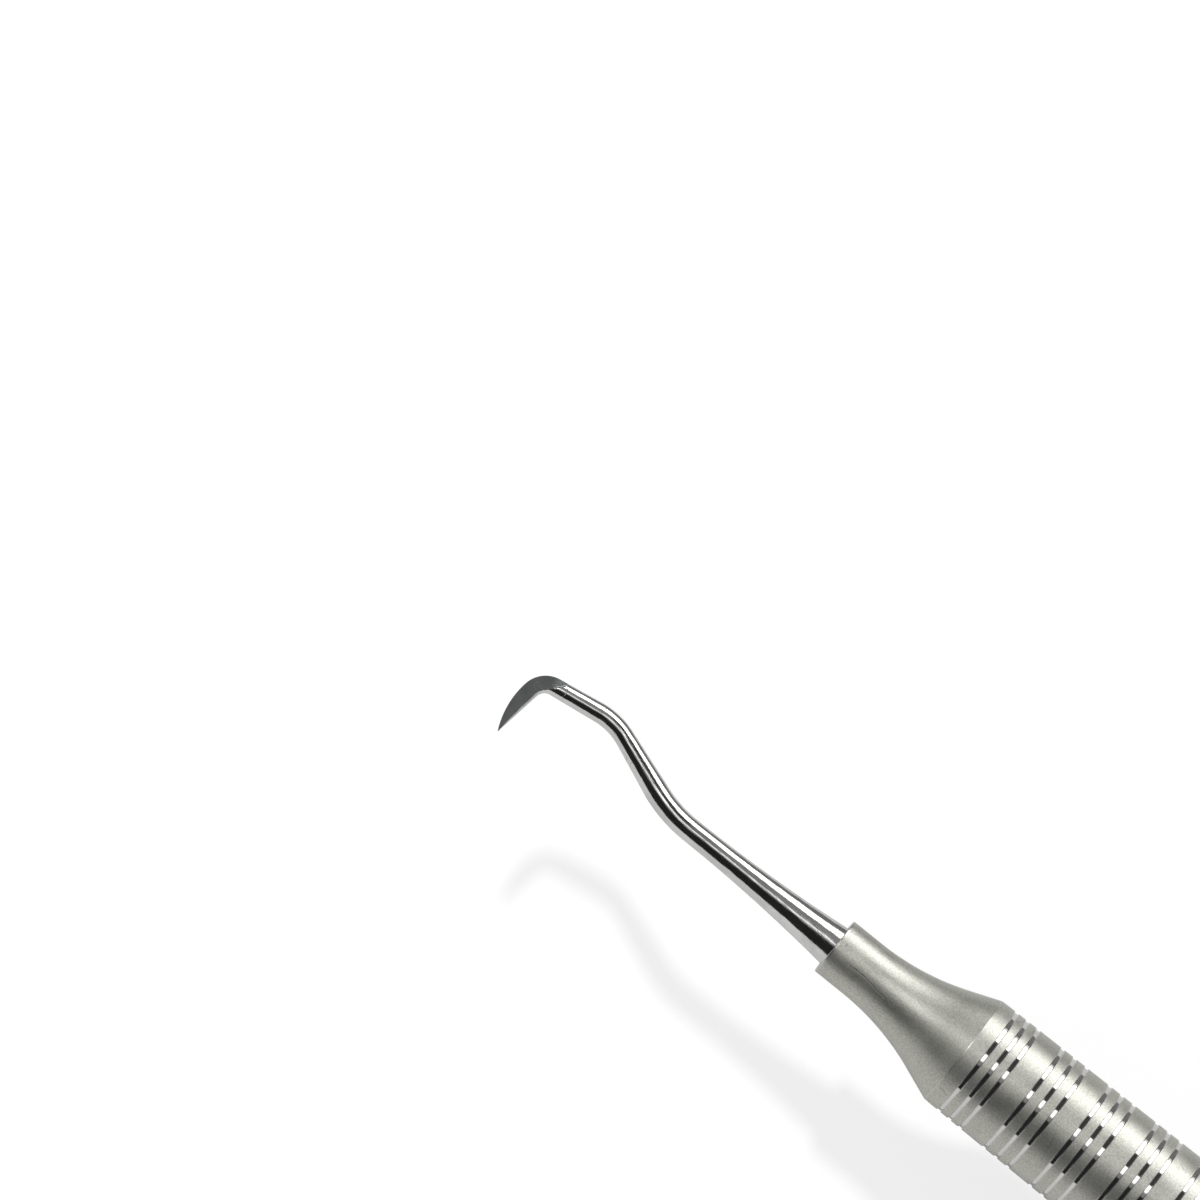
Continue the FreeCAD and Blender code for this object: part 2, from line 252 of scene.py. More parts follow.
# name, angles from straight up (positive towards minus Y), places along X, strength, distance from the axis
CARDS = (
    ("dim_roof", (-84, 63), (-TUNNEL_END, TUNNEL_END), 0.27, ROOF_RADIUS),
    ("dark_rail", (-51, -22), (-0.06, 0.06), 0.05, RAIL_RADIUS),
    ("softbox_foot", (-84, -76), (-0.25, 0.25), 5.0, TUNNEL_RADIUS),
    ("softbox", (-76, -53), (-0.25, 0.25), 3.4, TUNNEL_RADIUS),
    ("black_flag", (4, 63), (-0.62, 0.62), 0.02, TUNNEL_RADIUS),
    ("grey_wall", (63, 100), (-TUNNEL_END, TUNNEL_END), 0.76, TUNNEL_RADIUS),
    ("roof_lamp", (-21, -7), (-0.035, 0.035), 2.0, LAMP_RADIUS),
    ("lamp_arm", (-14, -5), (-0.2, 0.2), 1.3, ARM_RADIUS),
    ("end_lamp_-1", (-23, -9), (-0.48, -0.19), 6.0, LAMP_RADIUS),
    ("end_lamp_1", (-23, -9), (0.19, 0.48), 6.0, LAMP_RADIUS),
)


def add_card(name, points, faces, strength):
    material = new_material(name)
    glow = add_node(material.node_tree, "Emission", {"Strength": strength}).outputs[0]
    add_node(material.node_tree, "OutputMaterial", {"Surface": glow})
    mesh = bpy.data.meshes.new(name)
    mesh.from_pydata(points, [], faces)
    mesh.materials.append(material)
    piece = add_object(name, mesh)
    piece.visible_camera = False
    piece.visible_diffuse = False
    piece.visible_shadow = False


for name, (first, last), places, strength, distance in CARDS:
    steps = max(2, int((last - first) / CARD_STEP))
    angles = np.radians(np.linspace(first, last, steps + 1))
    points = [(x, -distance * math.sin(a), distance * math.cos(a)) for a in angles for x in places]
    faces = [(2 * i, 2 * i + 1, 2 * i + 3, 2 * i + 2) for i in range(steps)]
    add_card(name, points, faces, strength)
print(f"{len(CARDS)} cards round the handle")

# %% [markdown]
# ## Floor card and end cards
# A last card lies flat under the softbox, level with the handle's underside. Its near edge runs beside the
# scaler, closer to the thin shanks than to the handle, so that both mirror it equally. A dim card closes
# each end of the tunnel.

# %% Floor card and end cards
FLOOR_CARD_HEIGHT = 0.0002
FLOOR_CARD_REACH = 0.4
FLOOR_CARD_STRENGTH = 0.2
BESIDE_SHANK, BESIDE_HANDLE = 0.009, 0.014  # from the axis to the card's near edge
HANDLE_HALF = 0.052
END_CARD_STRENGTH = 0.1
END_CARD = ((-1, 0), (1, 0), (1, 1), (-1, 1))  # corners across and up, in tunnel radii

near_edge = [
    (-FLOOR_CARD_REACH, BESIDE_SHANK),
    (-HANDLE_HALF, BESIDE_SHANK),
    (-HANDLE_HALF, BESIDE_HANDLE),
    (HANDLE_HALF, BESIDE_HANDLE),
    (HANDLE_HALF, BESIDE_SHANK),
    (FLOOR_CARD_REACH, BESIDE_SHANK),
]
card_edge = near_edge + [(FLOOR_CARD_REACH, FLOOR_CARD_REACH), (-FLOOR_CARD_REACH, FLOOR_CARD_REACH)]
corners = [(x, y, FLOOR_CARD_HEIGHT) for x, y in card_edge]
add_card("floor_card", corners, [tuple(range(len(corners)))], FLOOR_CARD_STRENGTH)

for side in (-1, 1):
    corners = [(side * TUNNEL_END, y * TUNNEL_RADIUS, z * TUNNEL_RADIUS) for y, z in END_CARD]
    add_card(f"end_card_{side}", corners, [(0, 1, 2, 3)], END_CARD_STRENGTH)
print(f"floor card {BESIDE_SHANK / MM:.0f} mm from the shanks and {BESIDE_HANDLE / MM:.0f} from the handle")

# %% [markdown]
# ## One way to make every skin
# A turned handle and a drawn wire have something in common: both are rows of rings. The helper takes the
# rings, joins neighbours with quads and closes the ends where a ring shrinks to a point. It also takes
# values for each point, such as how polished it is, and stores them as mesh attributes that a material can
# read.

# %% Skin over rings
SHARP_ANGLE = 28.0  # degrees between two faces, from which their edge stays sharp
MERGE_DISTANCE = 2e-7  # metres


def skin(name, rings, closed, layers, ground_faces=None):
    """A piece from rings of points in millimetres. closed joins the last ring to the first one."""
    count, around = rings.shape[:2]
    row = np.arange(count if closed else count - 1)[:, None]
    column = np.arange(around)[None, :]
    following, beside = (row + 1) % count, (column + 1) % around
    corners = (
        row * around + column,
        row * around + beside,
        following * around + beside,
        following * around + column,
    )
    faces = np.stack(corners, axis=-1).reshape(-1, 4)

    mesh = bpy.data.meshes.new(name)
    mesh.from_pydata((rings.reshape(-1, 3) * MM).tolist(), [], faces.tolist())
    for layer, values in layers.items():
        kind, field = ("FLOAT_VECTOR", "vector") if values.ndim == 3 else ("FLOAT", "value")
        stored = mesh.attributes.new(layer, kind, "POINT")
        stored.data.foreach_set(field, values.astype(np.float32).ravel())
    if ground_faces is not None:
        mesh.polygons.foreach_set("material_index", ground_faces.astype(np.int32).ravel())

    form = bmesh.new()
    form.from_mesh(mesh)
    bmesh.ops.remove_doubles(form, verts=form.verts, dist=MERGE_DISTANCE)
    bmesh.ops.recalc_face_normals(form, faces=form.faces)
    form.to_mesh(mesh)
    form.free()
    mesh.shade_smooth()
    mesh.set_sharp_from_angle(angle=math.radians(SHARP_ANGLE))
    print(f"{name}: {len(mesh.vertices)} points, {len(mesh.polygons)} faces")
    return add_object(name, mesh)


# %% [markdown]
# ## Turned pieces
# The handle and the cones come off a lathe, so each is one outline swept round the axis. The outline is a
# list of places along the axis with the radius there, and with how polished the metal is: the handle is
# bead-blasted first and its rings are cut afterwards, so the rings are bright in a dull surface.

# %% Turned skin
TURNED_STEPS = 160


def turned(name, outline, closed, side=1, offset=0.0):
    """A lathe piece from (along, radius, polish) points. side turns it to face the other way along X."""
    along, radius, polish = np.array(outline, float).T
    angle = np.linspace(0, 2 * math.pi, TURNED_STEPS, endpoint=False)
    x = np.repeat((side * (offset + along))[:, None], TURNED_STEPS, axis=1)
    y = radius[:, None] * np.sin(angle)
    z = AXIS_HEIGHT + radius[:, None] * np.cos(angle)
    rings = np.stack([x, y, z], axis=-1)
    layers = {"polish": np.repeat(polish[:, None], TURNED_STEPS, axis=1)}
    return skin(name, rings, closed, layers)


# %% [markdown]
# ## Ring grooves
# Fine rings in groups of three give the fingers their grip. They are cut with a narrow flat tool after the
# blasting, so each has a flat, bright floor. Its walls are drawn as half waves, because real lips and
# corners are never quite sharp, and a mesh with sharp ones would lose the thin glints along them.

# %% Ring grooves
BAND_LENGTH = 29.0
GROUPS_PER_END = 5
RINGS_PER_GROUP = 3
FIRST_GROUP = 14.85  # from the collar face to the middle ring of the first group
GROUP_PITCH = 4.5
RING_PITCH = 1.14
FIRST_RING_PITCH = 1.02
RING_WIDTH = 0.40
RING_FLOOR = 0.25
RING_DEPTH = 0.10
WALL_STEPS = 5
LIP_POLISH = 0.4
FLAT_MARGIN = 0.012  # keeps the flats beside a wall truly flat


def tube_radius(x):
    """The plain band keeps its radius, and both ends taper from there to the shoulders."""
    half_band = BAND_LENGTH / 2
    share = np.clip((np.abs(x) - half_band) / (TUBE_END - half_band), 0, 1)
    return BAND_RADIUS + share * (SHOULDER_RADIUS - BAND_RADIUS)


def ring_places():
    """Where the rings are on one half of the handle, from the middle outwards."""
    places = []
    for group in range(GROUPS_PER_END):
        pitch = RING_PITCH if group else FIRST_RING_PITCH
        middle = COLLAR_FACE - FIRST_GROUP - group * GROUP_PITCH
        for ring in range(RINGS_PER_GROUP):
            places.append(middle + (ring - (RINGS_PER_GROUP - 1) / 2) * pitch)
    return sorted(places)


def ring_outline(place):
    """One ring from lip to lip: (along, radius, polish) points."""
    half = [(RING_WIDTH / 2 + FLAT_MARGIN, 0.0, 0.0)]
    for share in np.linspace(0, 1, WALL_STEPS + 1):
        away = RING_WIDTH / 2 - share * (RING_WIDTH - RING_FLOOR) / 2
        sunk = (1 - math.cos(math.pi * share)) / 2
        half.append((away, sunk, LIP_POLISH + (1 - LIP_POLISH) * share))
    half.append((RING_FLOOR / 2 - FLAT_MARGIN, 1.0, 1.0))
    outline = []
    for away, sunk, polish in [(-away, sunk, polish) for away, sunk, polish in half] + half[::-1]:
        x = place + away
        outline.append((x, tube_radius(x) - RING_DEPTH * sunk, polish))
    return outline


print(f"{2 * len(ring_places())} rings, the outermost {ring_places()[-1]:.2f} mm from the middle")

# %% [markdown]
# ## Handle tube
# The tube has a plain band in the middle and tapers a little to both ends. Its outline runs along the
# outside from one end to the other and comes back along the bore. At each end the outside curves down a
# little.

# %% Handle tube
BORE_RADIUS = 4.0
END_DROP, END_LENGTH = 0.02, 0.7  # the tube's end curves down to the cone's rim
END_STEPS = 6
RIM_RADIUS = SHOULDER_RADIUS - END_DROP


def tube_outline():
    half = [(0.0, BAND_RADIUS, 0.0), (BAND_LENGTH / 2, BAND_RADIUS, 0.0)]
    for place in ring_places():
        half += ring_outline(place)
    for share in np.linspace(0, 1, END_STEPS + 1):
        x = TUBE_END - (1 - share) * END_LENGTH
        half.append((x, tube_radius(x) - END_DROP * share**2, 0.0))
    outside = [(-x, r, p) for x, r, p in reversed(half[1:])] + half
    inside = [(TUBE_END, BORE_RADIUS, 0.0), (-TUBE_END, BORE_RADIUS, 0.0)]
    return outside + inside


handle_tube = turned("handle_tube_skin", tube_outline(), closed=True)

# %% [markdown]
# ## Socket cones
# A cone carries the shank. From its collar it flares in a hollow arc into a straight slope and meets the
# tube at the shoulder in a crisp line. Hands rub that line and the collar's rim, so both are stored as
# partly polished.

# %% Sizes of a cone
CONE_LENGTH = COLLAR_FACE - TUBE_END
CONE_SLOPE = 21.0
COLLAR_RADIUS = 2.375
COLLAR_LENGTH = 2.7
RIM_ROUND = 0.08
SPIGOT_LENGTH = 5.5
SOCKET_RADIUS = 1.675
SOCKET_DEPTH = 9.6
MOUTH_CHAMFER = 0.09
SHOULDER_ROLL = 0.2  # radius of the broken edge at the shoulder
SHOULDER_CREASE = 2.0  # degrees that this edge is short of level where it meets the tube
RUBBED = 0.4
RUB_FADE = 0.1  # how far the rubbed metal reaches beyond the rim
ARC_STEPS = 28
ROLL_STEPS = 6


def arc_points(centre, radius, start, end, steps):
    """Points on an arc of the outline. The angles are in degrees, and both ends are included."""
    angles = np.radians(np.linspace(start, end, steps + 1))
    return [(centre[0] + radius * math.cos(a), centre[1] + radius * math.sin(a)) for a in angles]

print(f"cone {CONE_LENGTH:.2f} mm long from collar face to shoulder")

# %% [markdown]
# ## Outline of a cone
# The outline starts at the bottom of the socket and comes out over the rim. Then it runs back along the
# collar, the flare and the slope to the shoulder, and goes down into the tube as the spigot. The flare's
# radius isn't chosen: it is the one arc that leaves the collar level and meets the slope in line.

# %% Both cones


def cone_outline():
    slope = math.radians(CONE_SLOPE)
    crease = math.radians(SHOULDER_CREASE)
    roll_centre = (
        -CONE_LENGTH - SHOULDER_ROLL * math.sin(crease),
        RIM_RADIUS - SHOULDER_ROLL * math.cos(crease),
    )
    roll = arc_points(roll_centre, SHOULDER_ROLL, 90 - CONE_SLOPE, 90 - SHOULDER_CREASE, ROLL_STEPS)

    # the flare is tangent to the collar and to the slope that starts the roll
    run, rise = -roll[0][0] - COLLAR_LENGTH, roll[0][1] - COLLAR_RADIUS
    flare = (math.tan(slope) * run - rise) / (math.tan(slope) * math.sin(slope) - 1 + math.cos(slope))
    flare_centre = (-COLLAR_LENGTH, COLLAR_RADIUS + flare)
    rim_centre = (-RIM_ROUND, COLLAR_RADIUS - RIM_ROUND)
    stretches = [
        ([(-SOCKET_DEPTH, 0), (-SOCKET_DEPTH, SOCKET_RADIUS), (-MOUTH_CHAMFER, SOCKET_RADIUS)], 0),
        ([(0, SOCKET_RADIUS + MOUTH_CHAMFER)], 0),
        (arc_points(rim_centre, RIM_ROUND, 0, 90, ROLL_STEPS), RUBBED),
        ([(-RIM_ROUND - RUB_FADE, COLLAR_RADIUS)], 0),
        (arc_points(flare_centre, flare, -90, -90 - CONE_SLOPE, ARC_STEPS), 0),
        (roll[:1], 0),
        (roll[1:], RUBBED),
        ([(-CONE_LENGTH, BORE_RADIUS), (-CONE_LENGTH - SPIGOT_LENGTH, BORE_RADIUS)], 0),
        ([(-CONE_LENGTH - SPIGOT_LENGTH, 0)], 0),
    ]
    return [(x, r, polish) for points, polish in stretches for x, r in points]


front_cone = turned("front_cone_skin", cone_outline(), closed=False, side=-1, offset=COLLAR_FACE)
rear_cone = turned("rear_cone_skin", cone_outline(), closed=False, side=1, offset=COLLAR_FACE)

# %% [markdown]
# ## Path of a working end
# A working end is forged from one round wire, so its skin is a row of rings along the wire's middle line.
# That line is straight runs and bends in one flat plane. A small turtle walks it: it knows where it stands
# and which way it faces, and leaves a station every so often, with the wire's radius there.

# %% A turtle that walks the wire


def heading(course):
    return np.array([math.cos(math.radians(course)), math.sin(math.radians(course))])


def left_of(course):
    return heading(course + 90)


class Wire:
    """Walks the wire's middle line and keeps its stations: place, course, radius and distance walked."""

    def __init__(self, place, course, radius):
        self.place, self.course, self.walked = np.array(place, float), course, place[0]
        self.stations = []
        self.mark(radius)

    def mark(self, radius):
        self.stations.append((self.place.copy(), self.course, radius, self.walked))

    def straight(self, length, radius_at, steps):
        start, walked = self.place.copy(), self.walked
        for share in np.linspace(0, 1, steps + 1)[1:]:
            self.place = start + share * length * heading(self.course)
            self.walked = walked + share * length
            self.mark(radius_at(share))

    def bend(self, turn, bow, radius, steps):
        side = 1 if turn > 0 else -1
        centre = self.place + side * bow * left_of(self.course)
        start, walked = self.course, self.walked
        for share in np.linspace(0, 1, steps + 1)[1:]:
            self.course = start + share * turn
            self.place = centre - side * bow * left_of(self.course)
            self.walked = walked + share * math.radians(abs(turn)) * bow
            self.mark(radius)


# %% [markdown]
# ## Tang and shank
# The wire starts with the tang inside the cone's socket. Outside it narrows in a hollow arc to the neck,
# bends one way, bends back further, and runs straight to the hook. Bends and the last stretch get more
# stations than the plain runs, because the light moves fastest over them.

# %% Tang and shank
TANG_LENGTH = 9.0
TANG_CHAMFER = 0.3
TAPER_LENGTH = 13.86
NECK_RADIUS = 0.92
FIRST_BEND = (-20.4, 11.0)  # turn in degrees, left is positive, and radius of the bend
MIDDLE_LENGTH = 4.58
SECOND_BEND = (29.3, 5.5)
WIRE_RADIUS = 0.76
TERMINAL_LENGTH = 3.85
HOOK_WIRE_RADIUS = 0.70
TANG_STEPS, TAPER_STEPS, BEND_STEPS, MIDDLE_STEPS, TERMINAL_STEPS = 4, 36, 16, 12, 60


def taper_radius(share):
    """The shank narrows in a hollow arc that is level at the neck."""
    drop = SOCKET_RADIUS - NECK_RADIUS
    sweep = (TAPER_LENGTH**2 + drop**2) / (2 * drop)
    return NECK_RADIUS + sweep - math.sqrt(sweep**2 - (TAPER_LENGTH * (1 - share)) ** 2)


def between(first, last):
    return lambda share: first + share * (last - first)


def walk_shank():
    tang_radius = between(SOCKET_RADIUS, SOCKET_RADIUS)
    wire = Wire((-TANG_LENGTH, 0), 0, 0.0)
    wire.mark(SOCKET_RADIUS - TANG_CHAMFER)
    wire.straight(TANG_CHAMFER, tang_radius, 1)
    wire.straight(TANG_LENGTH - TANG_CHAMFER, tang_radius, TANG_STEPS)
    wire.straight(TAPER_LENGTH, taper_radius, TAPER_STEPS)
    wire.bend(*FIRST_BEND, NECK_RADIUS, BEND_STEPS)
    wire.straight(MIDDLE_LENGTH, between(NECK_RADIUS, WIRE_RADIUS), MIDDLE_STEPS)
    wire.bend(*SECOND_BEND, WIRE_RADIUS, BEND_STEPS)
    wire.straight(TERMINAL_LENGTH, between(WIRE_RADIUS, HOOK_WIRE_RADIUS), TERMINAL_STEPS)
    return wire


print(f"{len(walk_shank().stations)} stations from the tang to the hook")

# %% [markdown]
# ## Ground sections
# The hook is bent from the same wire and then ground. Grinding only ever takes metal away, so the skin is
# the lower of two heights at each point, the round wire's and the grinding wheel's. Each half ring has its
# points shared out in two stretches, round and ground, so that a row of mesh edges follows the crease
# between them.

# %% Ground sections
HALF_POINTS = 24  # points in each of the two stretches
FINE = 500  # points that a section is probed with
HAIRSBREADTH = 1e-9  # what counts as lower


def resample(across, height, count):
    """Points spread evenly along a line of points."""
    steps = np.hypot(np.diff(across), np.diff(height))
    walked = np.concatenate([[0], np.cumsum(steps)])
    even = np.linspace(0, walked[-1], count)
    return np.interp(even, walked, across), np.interp(even, walked, height)


def round_half(radius):
    """Half a round section, from its inner side over the top to its outer side."""
    angle = np.linspace(math.pi, 0, 2 * HALF_POINTS + 1)
    return radius + radius * np.cos(angle), radius * np.sin(angle)


def ground_half(radius, limit, width):
    """The same half section where grinding has lowered it to limit(across), out to the back edge."""
    across = width * (1 - np.cos(np.linspace(0, math.pi, FINE))) / 2
    stock = np.sqrt(np.maximum(0, radius**2 - (across - radius) ** 2))
    ground = limit(across)
    cut = np.flatnonzero((ground < stock - HAIRSBREADTH) & (across > 0))
    if not len(cut):
        return round_half(radius)
    height = np.clip(np.minimum(stock, ground), 0, None)
    first = cut[0]
    inner = resample(across[: first + 1], height[: first + 1], HALF_POINTS + 1)
    outer = resample(across[first:], height[first:], HALF_POINTS + 1)
    return np.concatenate([inner[0], outer[0][1:]]), np.concatenate([inner[1], outer[1][1:]])


# %% [markdown]
# ## Hook and blade
# Two flat flanks slope down to the sharp back edge, above and below, and leave a round inner side. The back
# edge is an arc round its own centre, so each flank is part of a cone. Towards the shank it ends at a steep
# wall, where the wheel was lifted off the round wire.

# %% Hook and blade
HOOK_BEND = (72.0, 1.5)
HEEL_WIDTH = 1.29
BLADE_LENGTH = 4.0
FLANK_ANGLE = 25.0
GRIND_LEAD = 0.9  # from the wall to where the back edge starts
GRIND_WALL_TURN = 40.0
GRIND_WALL_SLOPE = 86.0


def blade_back():
    """Radius of the blade's back edge, which leaves the heel square and meets the inner edge at the tip."""
    return (BLADE_LENGTH**2 + HEEL_WIDTH**2) / (2 * HEEL_WIDTH)


class Sickle:
    """Where the hook and the blade lie, from the place and course at which the hook begins."""

    def __init__(self, start, course):
        turn, bow = HOOK_BEND
        self.course = course
        self.outwards = -left_of(course + turn)
        hook_centre = start + bow * left_of(course)
        self.inside = hook_centre + (bow - HOOK_WIRE_RADIUS) * self.outwards
        edge = self.inside + HEEL_WIDTH * self.outwards
        side_line = start - HOOK_WIRE_RADIUS * left_of(course)
        self.back = (edge - side_line) @ left_of(course) / (1 - math.cos(math.radians(turn)))
        self.back_centre = edge - self.back * self.outwards
        back_start = self.back_centre - self.back * left_of(course)
        self.wall_start = back_start - GRIND_LEAD * heading(course)

    def flank(self, points):
        """Height of the flank: a cone about the back edge's centre, and flat along the shank."""
        offset = points - self.back_centre
        along = offset @ heading(self.course)
        reach = np.where(along > 0, np.linalg.norm(offset, axis=1), -offset @ left_of(self.course))
        return math.tan(math.radians(FLANK_ANGLE)) * (self.back - reach)

    def wall(self, points):
        """Height of the slanting wall where the flank runs out into the round wire."""
        inwards = (points - self.wall_start) @ left_of(self.course + GRIND_WALL_TURN)
        return HOOK_WIRE_RADIUS + math.tan(math.radians(GRIND_WALL_SLOPE)) * inwards

    def half_section(self, place, course, radius, walled):
        """Half section of the shank or hook at a station, after grinding."""
        outwards = -left_of(course)
        inner = place - radius * outwards
        probe = np.linspace(0, 2 * radius, FINE)
        heights = self.flank(inner + probe[:, None] * outwards)
        width = probe[heights > 0][-1] if (heights > 0).any() else 2 * radius

        def limit(across):
            points = inner + across[:, None] * outwards
            flank = self.flank(points)
            return np.maximum(flank, self.wall(points)) if walled else flank

        return ground_half(radius, limit, min(width, 2 * radius))


# %% [markdown]
# ## Rings of a working end
# The hook's rings come from its stations. The blade is straight, so its rings are the last section made
# narrower step by step, closer together towards the tip. Each point also stores how it lies on the wire:
# along, across and up.

# %% Rings of a working end
HOOK_STEPS = 72
BLADE_STEPS = 60
TIP_WIDTH = 0.03


def place_ring(origin, outwards, across, height, walked):
    """A whole ring from its upper half, and how each point lies on the wire: along, across and up."""
    across = np.concatenate([across, across[-2:0:-1]])
    height = np.concatenate([height, -height[-2:0:-1]])
    plan = origin + across[:, None] * outwards
    ring = np.column_stack([plan, height])
    lay = np.column_stack([np.full(len(across), walked), across, height])
    return ring, lay


def straight_flank(width):
    """Height of a flank that slopes straight down to a back edge at this width."""
    return lambda across: math.tan(math.radians(FLANK_ANGLE)) * (width - across)


def working_end_rings():
    """All rings of a working end in its own frame, their lay, and which of them are ground."""
    wire = walk_shank()
    start, course, _, _ = wire.stations[-1]
    sickle = Sickle(start, course)
    turn, bow = HOOK_BEND
    wire.bend(turn, bow, HOOK_WIRE_RADIUS, HOOK_STEPS)
    rings, lays, ground = [], [], []
    for place, station_course, radius, walked in wire.stations:
        near = (place - sickle.wall_start) @ heading(course) > 0 and radius > 0
        if near:
            walled = station_course - course <= GRIND_WALL_TURN
            across, height = sickle.half_section(place, station_course, radius, walled)
        else:
            across, height = round_half(radius)
        outwards = -left_of(station_course)
        ring, lay = place_ring(place - radius * outwards, outwards, across, height, walked)
        rings.append(ring)
        lays.append(lay)
        ground.append(near)

    last = math.sqrt(blade_back() ** 2 - (blade_back() - HEEL_WIDTH + TIP_WIDTH) ** 2)
    for share in np.linspace(0, 1, BLADE_STEPS + 1)[1:]:
        distance = last * math.sin(share * math.pi / 2)
        width = math.sqrt(blade_back() ** 2 - distance**2) - blade_back() + HEEL_WIDTH
        inner_round = HOOK_WIRE_RADIUS / HEEL_WIDTH * width
        across, height = ground_half(inner_round, straight_flank(width), width)
        origin = sickle.inside + distance * heading(course + turn)
        ring, lay = place_ring(origin, sickle.outwards, across, height, walked + distance)
        rings.append(ring)
        lays.append(lay)
        ground.append(True)
    for end in (0, -1):
        middle = rings[end].mean(axis=0)
        rings[end] = np.repeat(middle[None, :], len(rings[end]), axis=0)
    return np.array(rings), np.array(lays), np.array(ground)


rings, lays, ground = working_end_rings()
print(f"{len(rings)} rings, {int(ground.sum())} of them ground")

# %% [markdown]
# ## Skins of the working ends
# Both ends are the same form, and the front one is turned by half a turn. A face lies on a ground flank
# when both of its rings are ground and it is in their ground stretch. Those faces get a material of their
# own.

# %% Both working ends
stretch = np.arange(rings.shape[1])
on_flank = (stretch >= HALF_POINTS) & (stretch < 3 * HALF_POINTS)
flank_faces = (ground[:-1] & ground[1:])[:, None] & on_flank[None, :]


def working_end(name, side):
    """side is 1 for the rear end and -1 for the front end, which is the same turned half a turn."""
    placed = rings * np.array([side, side, 1]) + np.array([side * COLLAR_FACE, 0, AXIS_HEIGHT])
    return skin(name, placed, False, {"lay": lays}, ground_faces=flank_faces)


front_end = working_end("front_working_end_skin", -1)
rear_end = working_end("rear_working_end_skin", 1)

# %% [markdown]
# ## Node groups
# Three finishes share a few effects: grain, lines that a tool has left, and hairline scratches. Each effect
# is a node group with named inputs, so a finish is a short list of groups with their sizes in millimetres.

# %% Helper for node groups
NOISE_SPAN = (0.3, 0.7)  # noise hardly ever leaves it
NOISE_MIDDLE = 0.5


def new_group(name, inputs, outputs):
    """An empty node group. Gives its tree, its input sockets by name and a function that links an output."""
    tree = bpy.data.node_groups.new(name, "ShaderNodeTree")
    for label, value in inputs.items():
        kind = "NodeSocketVector" if value is None else "NodeSocketFloat"
        socket = tree.interface.new_socket(label, in_out="INPUT", socket_type=kind)
        if value is not None:
            socket.default_value = value
    for label in outputs:
        tree.interface.new_socket(label, in_out="OUTPUT", socket_type="NodeSocketFloat")
    entry = tree.nodes.new("NodeGroupInput")
    result = tree.nodes.new("NodeGroupOutput")

    def put_out(label, socket):
        tree.links.new(socket, result.inputs[label])

    print(f"group {name}: {', '.join(inputs)} in, {', '.join(outputs)} out")
    return tree, entry.outputs, put_out


# %% [markdown]
# ## Grain group
# Bead blasting leaves tiny dents, and handling leaves patches that are a little duller or brighter. Both
# are noise, at two very different sizes. The dents could be real displacement, but at a tenth of a
# millimetre they only scatter light, which bump does as well for nothing.

# %% Grain group
PATCH_DETAIL = 4.0

grain_tree, entry, put_out = new_group(
    "grain_and_patches",
    {"Place": None, "Grain Size": 0.1, "Patch Size": 2.5},
    ("Grain", "Patches"),
)
fine_scale = calculate(grain_tree, "DIVIDE", 1.0, entry["Grain Size"])
patch_scale = calculate(grain_tree, "DIVIDE", 1.0, entry["Patch Size"])
grain = noise(grain_tree, stretched(grain_tree, entry["Place"], fine_scale))
put_out("Grain", remap(grain_tree, grain, *NOISE_SPAN))
patches = noise(grain_tree, stretched(grain_tree, entry["Place"], patch_scale), PATCH_DETAIL)
put_out("Patches", remap(grain_tree, patches, *NOISE_SPAN))

# %% [markdown]
# ## Tool line group
# Polishing along the wire, grinding across the blade and turning round the handle all leave the same mark:
# fine parallel lines, long one way and thin the other. Stretched noise gives them. The place that comes in
# has its X along the lines, so each finish only has to say which way its tool went.

# %% Tool line group
lines_tree, entry, put_out = new_group(
    "tool_lines",
    {"Place": None, "Line Length": 5.0, "Line Width": 0.1},
    ("Lines", "Fine Lines"),
)
for label, finer in (("Lines", 1.0), ("Fine Lines", 4.0)):
    along = calculate(lines_tree, "DIVIDE", finer, entry["Line Length"])
    across = calculate(lines_tree, "DIVIDE", finer, entry["Line Width"])
    scale = add_node(lines_tree, "CombineXYZ", {"X": along, "Y": across, "Z": across}).outputs[0]
    put_out(label, noise(lines_tree, stretched(lines_tree, entry["Place"], scale)))

# %% [markdown]
# ## Hairline group
# An instrument that lives in a tray with others picks up hairlines. Noise has contour lines that wander
# over the surface, and a thin band round one of them makes a curved scratch. A second noise keeps only a
# share of them, so that most of the steel stays clean.

# %% Hairline group
HAIRLINE_SHIFT = (17.0, 5.0, 11.0)  # keeps the two noises apart

hair_tree, entry, put_out = new_group(
    "hairlines",
    {"Place": None, "Spacing": 3.0, "Width": 0.02, "Share": 0.35},
    ("Hairlines",),
)
wide_scale = calculate(hair_tree, "DIVIDE", 1.0, entry["Spacing"])
wide_place = stretched(hair_tree, entry["Place"], wide_scale)
hills = noise(hair_tree, wide_place, 0.0)
contour = calculate(hair_tree, "ABSOLUTE", calculate(hair_tree, "SUBTRACT", hills, NOISE_MIDDLE))
half_width = calculate(hair_tree, "DIVIDE", entry["Width"], entry["Spacing"])
line = remap(hair_tree, contour, 0.0, half_width, 1.0, 0.0)
moved = add_node(hair_tree, "VectorMath", {0: wide_place, 1: HAIRLINE_SHIFT}, operation="ADD").outputs[0]
kept = calculate(hair_tree, "LESS_THAN", noise(hair_tree, moved, 1.0), entry["Share"])
put_out("Hairlines", calculate(hair_tree, "MULTIPLY", line, kept))

# %% [markdown]
# ## Places on the surface
# The turned pieces take their place from the object's own coordinates. A bent wire can't, because lines
# that follow it would have to bend too, so its skin carries the lay attribute: how far along the wire,
# across and up. Lines that run the other way only need that place turned by a quarter turn.

# %% Places in millimetres


def piece_place(tree):
    coordinates = add_node(tree, "TexCoord", {}).outputs["Object"]
    return stretched(tree, coordinates, (1 / MM, 1 / MM, 1 / MM))


